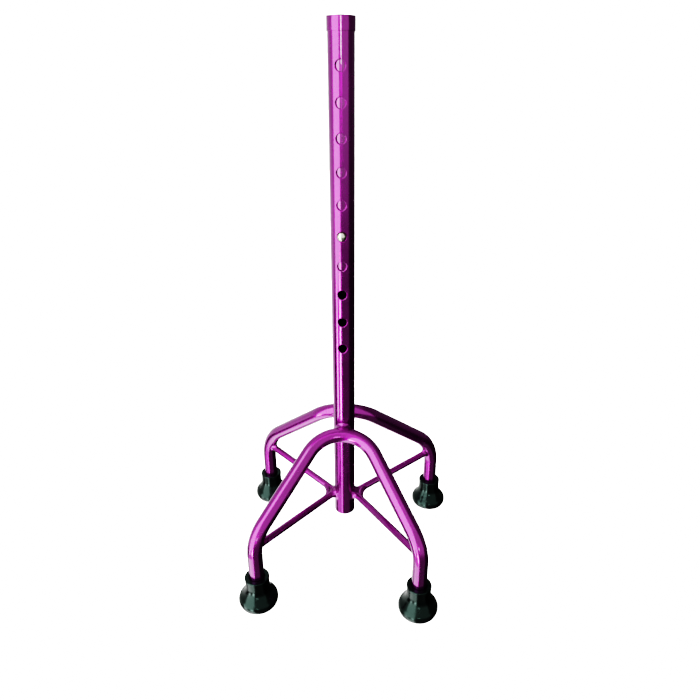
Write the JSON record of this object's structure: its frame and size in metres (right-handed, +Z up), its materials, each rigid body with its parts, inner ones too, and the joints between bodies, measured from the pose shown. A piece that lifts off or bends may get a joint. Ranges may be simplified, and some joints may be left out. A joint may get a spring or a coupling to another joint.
{
  "type": "quad walking cane base",
  "caption": "Lower section of a height-adjustable quad walking cane: holed tube with snap button on a four-legged bent-tube base with rubber tips.",
  "frame": {"origin": "on the floor, under the middle of the footprint of the four tips", "axes": "+Z up along the tube, -Y to the front where the button and the height holes are, +X to the right as seen from the front"},
  "size_m": [0.2188, 0.1928, 0.4884],
  "materials": {
    "purple_paint": "glossy candy purple",
    "rubber": "glossy moulded black",
    "button_steel": "polished",
    "spring_steel": "bright rolled",
    "washer_steel": "zinc plated",
    "nylon": "moulded nylon"
  },
  "bodies": {
    "base": {"outer_tube": "purple_paint", "top_collar": "purple_paint", "guide_bushing": "nylon", "tube_end_plug": "nylon", "front_hoop": "purple_paint", "rear_hoop": "purple_paint", "left_brace": "purple_paint", "right_brace": "purple_paint", "front_hoop_weld": "purple_paint", "rear_hoop_weld": "purple_paint", "left_brace_weld": "purple_paint", "right_brace_weld": "purple_paint", "left_brace_web": "purple_paint", "right_brace_web": "purple_paint", "front_left_leg_weld": "purple_paint", "front_left_tip": "rubber", "front_left_washer": "washer_steel", "front_right_leg_weld": "purple_paint", "front_right_tip": "rubber", "front_right_washer": "washer_steel", "rear_left_leg_weld": "purple_paint", "rear_left_tip": "rubber", "rear_left_washer": "washer_steel", "rear_right_leg_weld": "purple_paint", "rear_right_tip": "rubber", "rear_right_washer": "washer_steel"},
    "shaft": {"inner_tube": "purple_paint", "inner_tube_glide": "nylon", "button_spring": "spring_steel"},
    "button": {"snap_button": "button_steel"}
  },
  "joints": [
    {"name": "height_adjust", "type": "slide", "parent": "base", "child": "shaft", "axis": [0, 0, 1], "range_m": [-0.0254, 0.127]},
    {"name": "button_press", "type": "slide", "parent": "shaft", "child": "button", "axis": [0, 1, 0], "range_m": [0, 0.0046], "stiffness_N_per_m": 700, "springref_m": -0.002, "deforming": ["button_spring"]}
  ]
}
